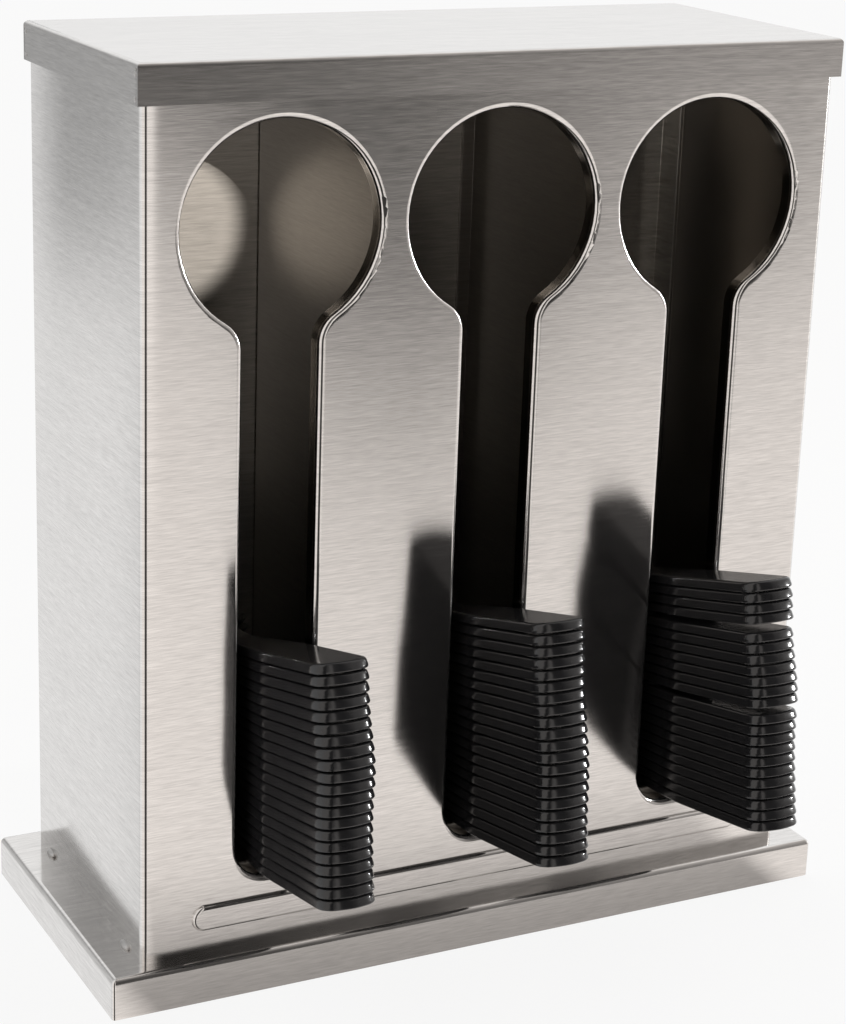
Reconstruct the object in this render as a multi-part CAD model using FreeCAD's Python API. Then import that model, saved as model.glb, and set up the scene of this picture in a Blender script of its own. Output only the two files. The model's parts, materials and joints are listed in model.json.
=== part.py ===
"""Countertop cutlery dispenser: a folded stainless steel housing with three keyhole openings, loaded with
three stacks of black plastic spoons, forks and knives. Millimetres, +Z up, +X to the right of the front.

Frame: z = 0 is the underside of the base tray and x = 0 its middle. y = 0 is the middle of the loaded
object, so the housing's own middle lies at y = HOUSING_Y, and the front faces -Y.
"""

import FreeCAD, Part
import math
import os

from collections import namedtuple

V = FreeCAD.Vector

# Housing: body width is the driving size, and the others follow from the photographed proportions
BODY_W = 240.0
BODY_D = 98.0
BODY_TOP_ABOVE_BASE = 283.0
SHEET = 1.0
BEND_R = 2.0
FOLD_R = 0.9

# Base tray: a folded plate that stands out past the body on every side
BASE_H = 14.0
BASE_SHEET = 1.2
BASE_OUT_SIDE = 12.0
BASE_OUT_FRONT = 6.6
BASE_OUT_REAR = 9.0
BASE_RETURN = 9.0

# Lid: a folded cap that drops over the body
LID_SKIRT = 12.4
LID_GAP = 0.7
LID_SEAM = 0.2
LID_BEND_R = 1.6
LID_RELIEF_R = 0.5
LID_RELIEF_Z = 2.0
LID_SPOT_R = 0.8
LID_SPOT_H = 0.25
LID_SPOT_IN = 2.2
LID_SPOT_BELOW_TOP = 3.4
LID_SPOT_ABOVE_HEM = 1.8

# Tack welds between body and base
TACK_R = 1.5
TACK_L = 7.0
TACK_CROWN = 0.75
TACK_FROM_FRONT = 14.0
TACK_FROM_REAR = 12.0

# Keyhole openings in the front
HOLE_PITCH = 75.0
MOUTH_R = 32.6
MOUTH_Z_ABOVE_BASE = 233.3
SLOT_W = 25.2
SLOT_BOTTOM_ABOVE_BASE = 22.8
SLOT_CORNER_R = 10.5
SHOULDER_R = 10.5
COLLAR_DEPTH = 6.5
COLLAR_EDGE_R = 2.0

# Pressed rib low on the front
RIB_LENGTH = 206.0
RIB_H = 8.4
RIB_PROUD = 1.5
RIB_CREST_R = 1.2
RIB_Z_ABOVE_BASE = 12.2

# Inside: dividers between the compartments, sloped floors under the stacks
DIVIDER_X = 40.6
DIVIDER_TOP_GAP = 5.0
DIVIDER_FLANGE = 5.0
BACK_FLANGE = 12.0
FLOOR_CLEAR = 0.3
FLOOR_FRONT_GAP = 0.5
FLOOR_SLOPE_DEG = 10.5
RIM_Z_ABOVE_BASE = 27.4
FLOOR_UNDER_RIM = 0.2

# Cutlery, laid with its tip at the origin and its head towards +Y
PIECE_L = 152.0
SPOON_L = 149.5
HANDLE_W = 19.2
HANDLE_H = 3.2
HANDLE_WALL = 1.2
HANDLE_FLARE_DEG = 14.0
HANDLE_STRAIGHT = 48.0
HANDLE_SIDE_R = 60.0
TIP_CORNER_R = 6.0
TIP_CROWN = 2.5
TIP_CROWN_R = 14.0
NECK_W = 9.6
NECK_Y = 88.0
NECK_R = 14.0
FLARE_BELOW = 1.0
FLARE_ABOVE = 8.0

# Head outlines: (distance from the middle line, distance from the tip, corner radius)
KNIFE_EDGE = [(9.0, 100.0, 10.0), (9.0, 128.0, 40.0), (1.5, PIECE_L, 4.0)]
KNIFE_SPINE = [(-5.0, PIECE_L - 1.0, 3.0), (-7.6, 102.0, 16.0)]
FORK_HEAD = [(12.9, 105.0, 12.0), (12.2, PIECE_L, 2.4)]
SPOON_BOWL = [(9.0, 98.5, 9.5), (16.2, 112.0, 18.0), (16.2, 136.0, 16.0), (9.0, SPOON_L, 9.5)]

# Underside and top of each head, behind the handle: (distance from the tip, height)
KNIFE_UNDER = [(86.0, 0.0), (96.0, 0.4), (160.0, 0.4)]
KNIFE_OVER = [(86.0, HANDLE_H), (96.0, 2.2), (160.0, 2.2)]
FORK_UNDER = [(82.0, 0.0), (96.0, 1.3), (114.0, 0.5), (158.0, 4.2)]
FORK_OVER = [(82.0, HANDLE_H), (96.0, 3.2), (114.0, 2.2), (158.0, 5.8)]
SPOON_UNDER = [(82.0, 0.0), (97.0, 4.4), (103.0, 4.4)]
SPOON_OVER = [(82.0, HANDLE_H), (97.0, 6.4), (103.0, 6.4)]

TINE_PITCH = 6.7
TINE_GAP = 2.6
TINE_ROOT_Y = 117.0
BOWL_SOLE_Z = 0.2
BOWL_H = 6.4
BOWL_LEAN = 6.6
BOWL_WALL = 1.3

# Stacks: a piece is carried at its head and at its handle, and the bulge in a stack spreads over a few pieces
TIP_OUT_MAX = 65.35
HEAD_PITCH = 3.2
REAR_DEPTH = 94.0
BUMP_SPREAD = 3.4

# Plain pieces inside the stacks have short chords in place of arcs, and only where a corner is large
CHORD_TURN = 65.0
CHORD_LEAST_R = 5.0
CHORD_STEPS = 3

# Derived places
HOUSING_Y = (TIP_OUT_MAX - BASE_OUT_REAR) / 2
FRONT = HOUSING_Y - BODY_D / 2
REAR = HOUSING_Y + BODY_D / 2
FLOOR_TAN = math.tan(math.radians(FLOOR_SLOPE_DEG))
BODY_TOP = BASE_H + BODY_TOP_ABOVE_BASE
MOUTH_Z = BASE_H + MOUTH_Z_ABOVE_BASE
SLOT_BOTTOM = BASE_H + SLOT_BOTTOM_ABOVE_BASE
HOLE_XS = (-HOLE_PITCH, 0.0, HOLE_PITCH)

# Each stack from the bottom up. tilts (degrees) and tip_outs are those of the lowest and the highest piece,
# bump is the size and the index of the bulge, gaps are (index, degrees) where a bundle starts to gape, and
# cuts are the indexes where the lower, middle and upper thirds part
Stack = namedtuple("Stack", "x count tilts tip_outs bump gaps cuts")
SPOONS = Stack(-HOLE_PITCH, 21, (FLOOR_SLOPE_DEG, 14.4), (60.0, 51.5), (3.0, 11.5), (), (7, 14))
FORKS = Stack(0.0, 21, (FLOOR_SLOPE_DEG, 15.2), (59.5, 50.0), (1.5, 8.0), (), (7, 14))
KNIFE_GAPS = ((11, 0.7), (18, 0.9))
KNIVES = Stack(HOLE_PITCH, 22, (FLOOR_SLOPE_DEG, 15.4), (65.5, 53.0), (2.0, 12.0), KNIFE_GAPS, (11, 18))


def save(shape, node):
    shape.exportStep("parts/%s.step" % node)
    print(node, round(shape.Volume, 1), shape.isValid(), len(shape.Solids))


def block(x0, x1, y0, y1, z0, z1):
    """A box between two corners."""
    return Part.makeBox(x1 - x0, y1 - y0, z1 - z0, V(x0, y0, z0))


def corner_arc(corners, i):
    """Corner i of an outline: the start, middle and end of its tangent arc, its centre and its turn."""
    x, y, radius = corners[i]
    here = V(x, y, 0)
    back = V(*corners[i - 1][:2], 0) - here
    ahead = V(*corners[(i + 1) % len(corners)][:2], 0) - here
    back.normalize()
    ahead.normalize()
    half = back.getAngle(ahead) / 2
    bisector = back + ahead
    bisector.normalize()
    centre = here + bisector * (radius / math.sin(half))
    reach = radius / math.tan(half)
    arc = [here + back * reach, centre - bisector * radius, here + ahead * reach]
    return arc, centre, math.degrees(math.pi - 2 * half)


def rounded_wire(corners):
    """A closed wire through (x, y, radius) corners, each corner rounded by a tangent arc."""
    joints = []
    for i, (x, y, radius) in enumerate(corners):
        joints.append(corner_arc(corners, i)[0] if radius > 0 else [V(x, y, 0)])
    edges = []
    for i, joint in enumerate(joints):
        if len(joint) == 3:
            edges.append(Part.Arc(*joint).toShape())
        following = joints[(i + 1) % len(joints)][0]
        if (following - joint[-1]).Length > 1e-6:
            edges.append(Part.LineSegment(joint[-1], following).toShape())
    return Part.Wire(edges)


def chorded(corners):
    """The same outline without arcs: a large, sharp corner becomes a few chords, and any other a point."""
    points = []
    for i, (x, y, radius) in enumerate(corners):
        if radius < CHORD_LEAST_R:
            points.append((x, y, 0))
            continue
        arc, centre, turn = corner_arc(corners, i)
        if turn < CHORD_TURN:
            points.append((x, y, 0))
            continue
        spoke = arc[0] - centre
        side = 1 if spoke.cross(arc[2] - centre).z > 0 else -1
        for k in range(CHORD_STEPS + 1):
            at = centre + FreeCAD.Rotation(V(0, 0, side), turn * k / CHORD_STEPS).multVec(spoke)
            points.append((at.x, at.y, 0))
    return points


def mirrored(half):
    """A full outline from its right half, listed from the front (-Y) end to the rear end."""
    return list(half) + [(-x, y, r) for x, y, r in reversed(half) if x > 0]


def inset_corners(corners, inset):
    """The corners of a counter-clockwise outline moved in by `inset`, with arcs kept concentric."""
    count = len(corners)
    moved = []
    for i, (x, y, radius) in enumerate(corners):
        here = V(x, y, 0)
        came = here - V(*corners[i - 1][:2], 0)
        goes = V(*corners[(i + 1) % count][:2], 0) - here
        came.normalize()
        goes.normalize()
        inward = V(-came.y - goes.y, came.x + goes.x, 0)
        inward.normalize()
        reach = inset / (inward.x * -came.y + inward.y * came.x)
        convex = came.cross(goes).z > 0
        tighter = radius - inset if convex else radius + inset
        moved.append((x + inward.x * reach, y + inward.y * reach, max(tighter, 0) if radius else 0))
    return moved


def leaning_prism(corners, z0, z1, inset0, inset1, chords=False):
    """A solid on an outline whose wall leans in from inset0 at height z0 to inset1 at height z1."""
    if chords:
        corners = chorded(corners)
    low = rounded_wire(inset_corners(corners, inset0))
    low.translate(V(0, 0, z0))
    high = rounded_wire(inset_corners(corners, inset1))
    high.translate(V(0, 0, z1))
    return Part.makeLoft([low, high], True, True)


def prism(wire, z0, z1):
    face = Part.Face(wire)
    face.translate(V(0, 0, z0))
    return face.extrude(V(0, 0, z1 - z0))


def keyhole_wire(grow):
    """The keyhole outline in XZ, drawn in XY with the mouth's centre at the origin."""
    mouth = MOUTH_R + grow
    half = SLOT_W / 2 + grow
    fillet = SHOULDER_R - grow
    corner = SLOT_CORNER_R + grow
    bottom = SLOT_BOTTOM - MOUTH_Z - grow
    # The shoulder's centre lies beside the slot and outside the mouth
    sx = half + fillet
    sz = -math.sqrt((mouth + fillet) ** 2 - sx ** 2)
    touch = mouth / (mouth + fillet)
    on_mouth = V(sx * touch, sz * touch, 0)
    on_slot = V(half, sz, 0)
    lean = math.atan2(on_mouth.y - sz, on_mouth.x - sx)
    turn = (lean + math.pi) / 2
    mid = V(sx + fillet * math.cos(turn), sz + fillet * math.sin(turn), 0)
    k = corner * (1 - math.sqrt(0.5))

    def flip(p):
        return V(-p.x, p.y, 0)

    top = V(0, mouth, 0)
    low_right = V(half, bottom + corner, 0)
    low_in = V(half - corner, bottom, 0)
    low_mid = V(half - k, bottom + k, 0)
    edges = [
        Part.Arc(on_mouth, top, flip(on_mouth)),
        Part.Arc(flip(on_mouth), flip(mid), flip(on_slot)),
        Part.LineSegment(flip(on_slot), flip(low_right)),
        Part.Arc(flip(low_right), flip(low_mid), flip(low_in)),
        Part.LineSegment(flip(low_in), low_in),
        Part.Arc(low_in, low_mid, low_right),
        Part.LineSegment(low_right, on_slot),
        Part.Arc(on_slot, mid, on_mouth),
    ]
    return Part.Wire([e.toShape() for e in edges])


def keyhole_prism(x, grow, y0, y1):
    """The keyhole outline of the opening at x, run through from y0 to y1."""
    solid = prism(keyhole_wire(grow), -y1, -y0)
    solid.rotate(V(0, 0, 0), V(1, 0, 0), 90)
    solid.translate(V(x, 0, MOUTH_Z))
    return solid


def stadium_prism(length, height, y0, y1, z):
    """A bar with round ends along X, run from y0 to y1."""
    r = height / 2
    half = length / 2 - r
    edges = [
        Part.LineSegment(V(-half, -r, 0), V(half, -r, 0)),
        Part.Arc(V(half, -r, 0), V(half + r, 0, 0), V(half, r, 0)),
        Part.LineSegment(V(half, r, 0), V(-half, r, 0)),
        Part.Arc(V(-half, r, 0), V(-half - r, 0, 0), V(-half, -r, 0)),
    ]
    solid = prism(Part.Wire([e.toShape() for e in edges]), -y1, -y0)
    solid.rotate(V(0, 0, 0), V(1, 0, 0), 90)
    solid.translate(V(0, 0, z))
    return solid


def near(value, *targets):
    return any(abs(value - target) < 1e-4 for target in targets)


def edges_at(shape, test):
    """The edges of a shape whose every vertex and centre pass a test."""
    return [e for e in shape.Edges if all(test(p) for p in [v.Point for v in e.Vertexes] + [e.CenterOfMass])]


def body_shell():
    """Front and both sides: one sheet bent to a U, with three flanged keyholes and the pressed rib."""
    half = BODY_W / 2
    outer = rounded_wire([(-half, REAR, 0), (-half, FRONT, BEND_R), (half, FRONT, BEND_R), (half, REAR, 0)])
    inner_r = BEND_R - SHEET
    inner = rounded_wire(
        [
            (-half + SHEET, REAR + 1, 0),
            (-half + SHEET, FRONT + SHEET, inner_r),
            (half - SHEET, FRONT + SHEET, inner_r),
            (half - SHEET, REAR + 1, 0),
        ]
    )
    shell = prism(outer, BASE_H, BODY_TOP).cut(prism(inner, BASE_H - 1, BODY_TOP + 1))
    for x in HOLE_XS:
        shell = shell.fuse(keyhole_prism(x, SHEET, FRONT, FRONT + COLLAR_DEPTH))
        shell = shell.cut(keyhole_prism(x, 0, FRONT - 1, FRONT + COLLAR_DEPTH + 1))
    shell = shell.removeSplitter()
    wall = {round(e.Length, 3) for e in keyhole_wire(0).Edges}
    rims = [
        e
        for e in edges_at(shell, lambda p: near(p.y, FRONT))
        if round(e.Length, 3) in wall
    ]
    shell = shell.makeFillet(COLLAR_EDGE_R, rims)
    rib_z = BASE_H + RIB_Z_ABOVE_BASE
    rib = stadium_prism(RIB_LENGTH, RIB_H, FRONT - RIB_PROUD, FRONT + SHEET / 2, rib_z)
    crest = edges_at(rib, lambda p: near(p.y, FRONT - RIB_PROUD))
    rib = rib.makeFillet(RIB_CREST_R, crest)
    hollow = stadium_prism(
        RIB_LENGTH - 2 * SHEET, RIB_H - 2 * SHEET, FRONT - RIB_PROUD + SHEET, FRONT + 2 * SHEET, rib_z
    )
    return shell.fuse(rib).cut(hollow).removeSplitter()


def back_panel():
    """Back sheet between the two sides, with flanges folded forward along them."""
    half = BODY_W / 2 - SHEET
    panel = block(-half, half, REAR - SHEET, REAR, BASE_H, BODY_TOP)
    for side in (-1, 1):
        x0, x1 = sorted((side * half, side * (half - SHEET)))
        panel = panel.fuse(block(x0, x1, REAR - BACK_FLANGE, REAR - SHEET, BASE_H, BODY_TOP))
    panel = panel.removeSplitter()
    corners = edges_at(panel, lambda p: near(p.x, -half, half) and near(p.y, REAR))
    return panel.makeFillet(FOLD_R, corners)


def divider(side):
    """Upright sheet between two compartments, flanged towards the middle at the front and the rear."""
    x_mid = side * DIVIDER_X
    x0 = x_mid - SHEET / 2
    x1 = x_mid + SHEET / 2
    y0 = FRONT + SHEET
    y1 = REAR - SHEET
    top = BODY_TOP - DIVIDER_TOP_GAP
    web = block(x0, x1, y0, y1, BASE_H, top)
    inner = x_mid - side * DIVIDER_FLANGE
    f0, f1 = sorted((x_mid, inner))
    web = web.fuse(block(f0, f1, y0, y0 + SHEET, BASE_H, top))
    web = web.fuse(block(f0, f1, y1 - SHEET, y1, BASE_H, top)).removeSplitter()
    outside = x_mid + side * SHEET / 2
    bends = edges_at(web, lambda p: near(p.x, outside) and near(p.y, y0, y1))
    return web.makeFillet(FOLD_R, bends)


def floor_top(y):
    """Height of the sloped floor's upper face at y."""
    return BASE_H + RIM_Z_ABOVE_BASE - (y - FRONT) * FLOOR_TAN - FLOOR_UNDER_RIM


def stack_floor(x0, x1):
    """Sloped sheet that carries one stack, folded down to the base at the front and the rear."""
    y0 = FRONT + COLLAR_DEPTH + FLOOR_FRONT_GAP
    y1 = REAR - 2 * SHEET - FLOOR_CLEAR
    drop = SHEET / math.cos(math.radians(FLOOR_SLOPE_DEG))
    section = [
        (y0, BASE_H),
        (y0, floor_top(y0)),
        (y1, floor_top(y1)),
        (y1, BASE_H),
        (y1 - SHEET, BASE_H),
        (y1 - SHEET, floor_top(y1 - SHEET) - drop),
        (y0 + SHEET, floor_top(y0 + SHEET) - drop),
        (y0 + SHEET, BASE_H),
    ]
    points = [V(x0, y, z) for y, z in section]
    sheet = Part.Face(Part.makePolygon(points + points[:1])).extrude(V(x1 - x0, 0, 0))
    folds = edges_at(sheet, lambda p: near(p.z, floor_top(p.y)) and near(p.y, y0, y1))
    return sheet.makeFillet(FOLD_R, folds)


def base_tray():
    """Folded tray with a down-turned rim and a flange returned inwards along the bottom."""
    x1 = BODY_W / 2 + BASE_OUT_SIDE
    y0 = FRONT - BASE_OUT_FRONT
    y1 = REAR + BASE_OUT_REAR
    outer = block(-x1, x1, y0, y1, 0, BASE_H)
    posts = edges_at(outer, lambda p: near(p.x, -x1, x1) and near(p.y, y0, y1))
    outer = outer.makeFillet(BASE_SHEET, posts)
    top_rim = edges_at(outer, lambda p: near(p.z, BASE_H))
    outer = outer.makeFillet(BEND_R, top_rim)
    t = BASE_SHEET
    inside = block(-x1 + t, x1 - t, y0 + t, y1 - t, t, BASE_H - t)
    r = BASE_RETURN
    mouth = block(-x1 + r, x1 - r, y0 + r, y1 - r, -1, t + 1)
    return outer.cut(inside).cut(mouth)


def tack_bead(side, y):
    """A small bead in the corner between the body's side and the base, thinner at both ends."""
    wires = []
    for along, share in ((-0.5, 0.4), (-0.25, 1.0), (0.25, 1.0), (0.5, 0.4)):
        r = TACK_R * share
        section = [(0, 0), (r, 0), (r * TACK_CROWN, r * TACK_CROWN), (0, r)]
        points = [V(side * (BODY_W / 2 + x), y + TACK_L * along, BASE_H + z) for x, z in section]
        wires.append(Part.makePolygon(points + points[:1]))
    return Part.makeLoft(wires, True, True)


def tack_welds():
    """Two tacks on each side of the body."""
    rows = (FRONT + TACK_FROM_FRONT, REAR - TACK_FROM_REAR)
    return Part.makeCompound([tack_bead(side, y) for side in (-1, 1) for y in rows])


def lid():
    """Folded cap: flat top, skirt all round, open seams at the corners with a small relief at the fold."""
    x1 = BODY_W / 2 + LID_GAP + SHEET
    y0 = FRONT - LID_GAP - SHEET
    y1 = REAR + LID_GAP + SHEET
    z1 = BODY_TOP + SHEET
    z0 = z1 - LID_SKIRT
    cap = block(-x1, x1, y0, y1, z0, z1)
    cap = cap.makeFillet(LID_BEND_R, edges_at(cap, lambda p: near(p.z, z1)))
    t = SHEET
    cap = cap.cut(block(-x1 + t, x1 - t, y0 + t, y1 - t, z0 - 1, z1 - t))
    for sx in (-1, 1):
        for y, sy in ((y0, -1), (y1, 1)):
            xa, xb = sorted((sx * (x1 - t - LID_SEAM), sx * (x1 + t)))
            ya, yb = sorted((y - sy * t, y - sy * (t + LID_SEAM)))
            cap = cap.cut(block(xa, xb, ya, yb, z0 - 1, z1 - LID_RELIEF_Z))
            at = V(sx * (x1 - 2 * t), y - sy * (t + LID_SEAM / 2), z1 - LID_RELIEF_Z)
            cap = cap.cut(Part.makeCylinder(LID_RELIEF_R, 4 * t, at, V(sx, 0, 0)))
    return cap.removeSplitter()


def lid_corner_welds():
    """Two small ground weld spots on the side of each lid corner, next to the open seam."""
    x1 = BODY_W / 2 + LID_GAP + SHEET
    z1 = BODY_TOP + SHEET
    spots = []
    for sx in (-1, 1):
        for y, sy in ((FRONT - LID_GAP - SHEET, -1), (REAR + LID_GAP + SHEET, 1)):
            for z in (z1 - LID_SPOT_BELOW_TOP, z1 - LID_SKIRT + LID_SPOT_ABOVE_HEM):
                r = LID_SPOT_R
                y_mid = y - sy * LID_SPOT_IN
                spot = block(*sorted((sx * x1, sx * (x1 + LID_SPOT_H))), y_mid - r, y_mid + r, z - r, z + r)
                posts = edges_at(spot, lambda p: near(p.y, y_mid - r, y_mid + r) and near(p.z, z - r, z + r))
                spots.append(spot.makeChamfer(r * 0.6, posts))
    return Part.makeCompound(spots)


def handle_outline():
    """Right half of the handle's plan, from the blunt, crowned tip to the neck."""
    half = HANDLE_W / 2
    return [
        (0, 0, TIP_CROWN_R),
        (half, TIP_CROWN, TIP_CORNER_R),
        (half, HANDLE_STRAIGHT, HANDLE_SIDE_R),
        (NECK_W / 2, NECK_Y, NECK_R),
    ]


def crossed(outline, under, over, chords):
    """A piece whose plan and side section are crossed, with walls that lean in towards the top."""
    lean = math.tan(math.radians(HANDLE_FLARE_DEG))
    plan = leaning_prism(
        outline, -FLARE_BELOW, FLARE_ABOVE, -lean * FLARE_BELOW, lean * FLARE_ABOVE, chords
    )
    front = -HANDLE_H
    section = [(front, 0)] + under + over[::-1] + [(front, HANDLE_H)]
    points = [V(-HANDLE_W, y, z) for y, z in section]
    strip = Part.Face(Part.makePolygon(points + points[:1])).extrude(V(2 * HANDLE_W, 0, 0))
    return plan.common(strip)


def handle_hollow(chords):
    """The open underside of a handle, which makes it a channel."""
    half = HANDLE_W / 2 - HANDLE_WALL
    neck = NECK_W / 2 - HANDLE_WALL
    outline = mirrored([
        (0, HANDLE_WALL, TIP_CROWN_R - HANDLE_WALL),
        (half, HANDLE_WALL + TIP_CROWN, TIP_CORNER_R - HANDLE_WALL),
        (half, HANDLE_STRAIGHT, HANDLE_SIDE_R),
        (neck, NECK_Y - 8, HANDLE_WALL),
    ])
    return leaning_prism(outline, -FLARE_BELOW, HANDLE_H - HANDLE_WALL, 0, HANDLE_WALL / 2, chords)


def knife(chords):
    """A table knife: channel handle, flat blade with a straight spine and a curved cutting edge."""
    handle = handle_outline()
    outline = handle + KNIFE_EDGE + KNIFE_SPINE + [(-x, y, r) for x, y, r in reversed(handle[1:])]
    return crossed(outline, KNIFE_UNDER, KNIFE_OVER, chords)


def fork(chords):
    """A fork: channel handle, dipped neck and four tines that curve up."""
    piece = crossed(mirrored(handle_outline() + FORK_HEAD), FORK_UNDER, FORK_OVER, chords)
    for x in (-TINE_PITCH, 0, TINE_PITCH):
        gap = block(x - TINE_GAP / 2, x + TINE_GAP / 2, TINE_ROOT_Y, PIECE_L + SHEET, -HANDLE_H, 3 * HANDLE_H)
        if not chords:
            gap = gap.fuse(Part.makeCylinder(TINE_GAP / 2, 4 * HANDLE_H, V(x, TINE_ROOT_Y, -HANDLE_H)))
        piece = piece.cut(gap)
    return piece


def spoon(chords):
    """A dessert spoon: channel handle, raised neck and an open bowl with leaning sides."""
    neck_end = SPOON_OVER[-1][0]
    outline = mirrored(handle_outline() + [(NECK_W / 2, neck_end, 0)])
    shaft = crossed(outline, SPOON_UNDER, SPOON_OVER, chords)
    bowl = mirrored(SPOON_BOWL)
    dish = leaning_prism(bowl, BOWL_SOLE_Z, BOWL_H, BOWL_LEAN, 0, chords)
    hollow = leaning_prism(bowl, BOWL_SOLE_Z + BOWL_WALL, BOWL_H, BOWL_LEAN, BOWL_WALL, chords)
    return shaft.fuse(dish).cut(hollow)


def place(piece, x, rim_z, tilt, tip_out):
    """Lays a piece in its slot: its rim crosses the front at rim_z and its tip stands out by tip_out."""
    piece = piece.copy()
    piece.rotate(V(0, 0, 0), V(1, 0, 0), -tilt)
    piece.translate(V(x, FRONT - tip_out, rim_z + tip_out * math.tan(math.radians(tilt))))
    return piece


def stack(make, plan):
    """Places one stack from the bottom up. Each piece tilts a little more than the one below it, because
    the handles are deeper than the heads, and a gap in the plan tilts all the pieces from its index on."""
    plain = make(True)
    lowest = plain.cut(handle_hollow(True))
    highest = make(False).cut(handle_hollow(False))
    tilt_low, tilt_high = plan.tilts
    out_low, out_high = plan.tip_outs
    bump_size, bump_at = plan.bump
    last = plan.count - 1
    step = (tilt_high - tilt_low - sum(size for _, size in plan.gaps)) / last
    rear_z = BASE_H + RIM_Z_ABOVE_BASE - REAR_DEPTH * math.tan(math.radians(tilt_low))
    placed = []
    for i in range(plan.count):
        tilt = tilt_low + step * i + sum(size for index, size in plan.gaps if i >= index)
        rim_z = rear_z + HEAD_PITCH * i + REAR_DEPTH * math.tan(math.radians(tilt))
        wave = bump_size * math.exp(-((i - bump_at) / BUMP_SPREAD) ** 2)
        tip_out = out_low + (out_high - out_low) * i / last + wave
        blank = {0: lowest, last: highest}.get(i, plain)
        placed.append(place(blank, plan.x, rim_z, tilt, tip_out))
    return placed


def main():
    os.makedirs("parts", exist_ok=True)
    save(base_tray(), "base_tray")
    save(body_shell(), "body_shell")
    save(back_panel(), "back_panel")
    save(divider(-1), "divider_left")
    save(divider(1), "divider_right")
    side_wall = BODY_W / 2 - 2 * SHEET - FLOOR_CLEAR
    outside = DIVIDER_X + SHEET / 2 + FLOOR_CLEAR
    between = DIVIDER_X - SHEET / 2 - FLOOR_CLEAR
    save(stack_floor(-side_wall, -outside), "floor_left")
    save(stack_floor(-between, between), "floor_centre")
    save(stack_floor(outside, side_wall), "floor_right")
    save(tack_welds(), "tack_welds")
    save(lid(), "lid")
    save(lid_corner_welds(), "lid_corner_welds")
    for name, make, plan in (("spoon", spoon, SPOONS), ("fork", fork, FORKS), ("knife", knife, KNIVES)):
        pieces = stack(make, plan)
        low, high = plan.cuts
        save(pieces[-1], name + "_top")
        save(Part.makeCompound(pieces[:low]), name + "_stack_lower")
        save(Part.makeCompound(pieces[low:high]), name + "_stack_middle")
        save(Part.makeCompound(pieces[high:-1]), name + "_stack_upper")


main()
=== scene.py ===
# %% [markdown]
# # A cutlery dispenser in satin steel
#
# The object is a folded housing with three keyhole openings, a lift-off lid, a wide base tray and three
# stacks of black plastic cutlery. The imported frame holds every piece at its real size, so this lesson adds
# what a frame lacks: eased sheet edges, moulded handles, weld beads, satin grain and soft light.
#
# Every length is in metres, +Z is up and the front faces -Y.

# %% Load the frame
import json
import math
import random

import bmesh
import bpy
from mathutils import Matrix, Vector


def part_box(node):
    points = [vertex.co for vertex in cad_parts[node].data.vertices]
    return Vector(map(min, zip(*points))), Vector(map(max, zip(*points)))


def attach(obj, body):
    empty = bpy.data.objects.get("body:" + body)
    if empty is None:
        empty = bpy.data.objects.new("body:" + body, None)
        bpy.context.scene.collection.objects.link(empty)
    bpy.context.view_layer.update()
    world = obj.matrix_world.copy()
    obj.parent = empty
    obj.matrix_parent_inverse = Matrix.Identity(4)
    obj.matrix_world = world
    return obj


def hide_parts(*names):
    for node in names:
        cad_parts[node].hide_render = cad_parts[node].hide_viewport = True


MM = 0.001
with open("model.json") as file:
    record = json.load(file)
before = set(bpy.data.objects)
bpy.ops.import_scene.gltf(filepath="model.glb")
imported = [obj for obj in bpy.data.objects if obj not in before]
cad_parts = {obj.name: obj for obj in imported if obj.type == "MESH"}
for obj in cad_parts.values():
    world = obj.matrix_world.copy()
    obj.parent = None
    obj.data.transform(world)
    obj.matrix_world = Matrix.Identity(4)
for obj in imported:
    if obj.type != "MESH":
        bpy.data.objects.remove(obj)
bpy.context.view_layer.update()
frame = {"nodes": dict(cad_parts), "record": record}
NODES = frame["nodes"]
BODY_OF = {node: body for body, nodes in frame["record"]["behaviour"]["bodies"].items() for node in nodes}
scene = bpy.context.scene

# %% [markdown]
# ## The camera
#
# A camera can be set by eye, turning it until the object looks right, or worked out. Here the housing's long
# edges gave it: they meet in three vanishing points, and those fix where the camera stands, how it is turned
# and how long its lens is. The picture is cropped off centre, so the lens is shifted a little, as on a view
# camera.

# %% Camera
IMAGE_W = 846
IMAGE_H = 1024
FOCAL_PX = 2495.1
AXIS_PX = (399.6, 479.9)
CAMERA_AT = (-0.3727, -0.6859, 0.3952)
CAMERA_TURN_DEG = (72.846, -1.738, -26.460)
SENSOR_MM = 36.0

camera_data = bpy.data.cameras.new("viewpoint")
camera = bpy.data.objects.new("viewpoint", camera_data)
scene.collection.objects.link(camera)
camera.location = CAMERA_AT
camera.rotation_euler = [math.radians(a) for a in CAMERA_TURN_DEG]
camera_data.sensor_fit = "VERTICAL"
camera_data.sensor_height = SENSOR_MM
camera_data.lens = FOCAL_PX * SENSOR_MM / IMAGE_H
camera_data.shift_x = (IMAGE_W / 2 - AXIS_PX[0]) / IMAGE_H
camera_data.shift_y = (AXIS_PX[1] - IMAGE_H / 2) / IMAGE_H
scene.camera = camera
print("lens", round(camera_data.lens, 2), "mm")

# %% [markdown]
# ## Working by hand, in code
#
# Operators act on whatever is selected, so three helpers come first. One makes a single object active and
# selected. One adds a modifier and applies it at once. The last copies a node of the frame and heals the
# copy: a CAD node is loose triangles, and a bevel needs one closed surface whose flat faces are whole.

# %% Selection helpers
MERGE = 2e-6
FLAT_DEG = 0.5


def only(piece):
    """Selects one object and nothing else."""
    if bpy.context.object and bpy.context.object.mode != "OBJECT":
        bpy.ops.object.mode_set(mode="OBJECT")
    bpy.ops.object.select_all(action="DESELECT")
    piece.select_set(True)
    bpy.context.view_layer.objects.active = piece
    return piece


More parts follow.
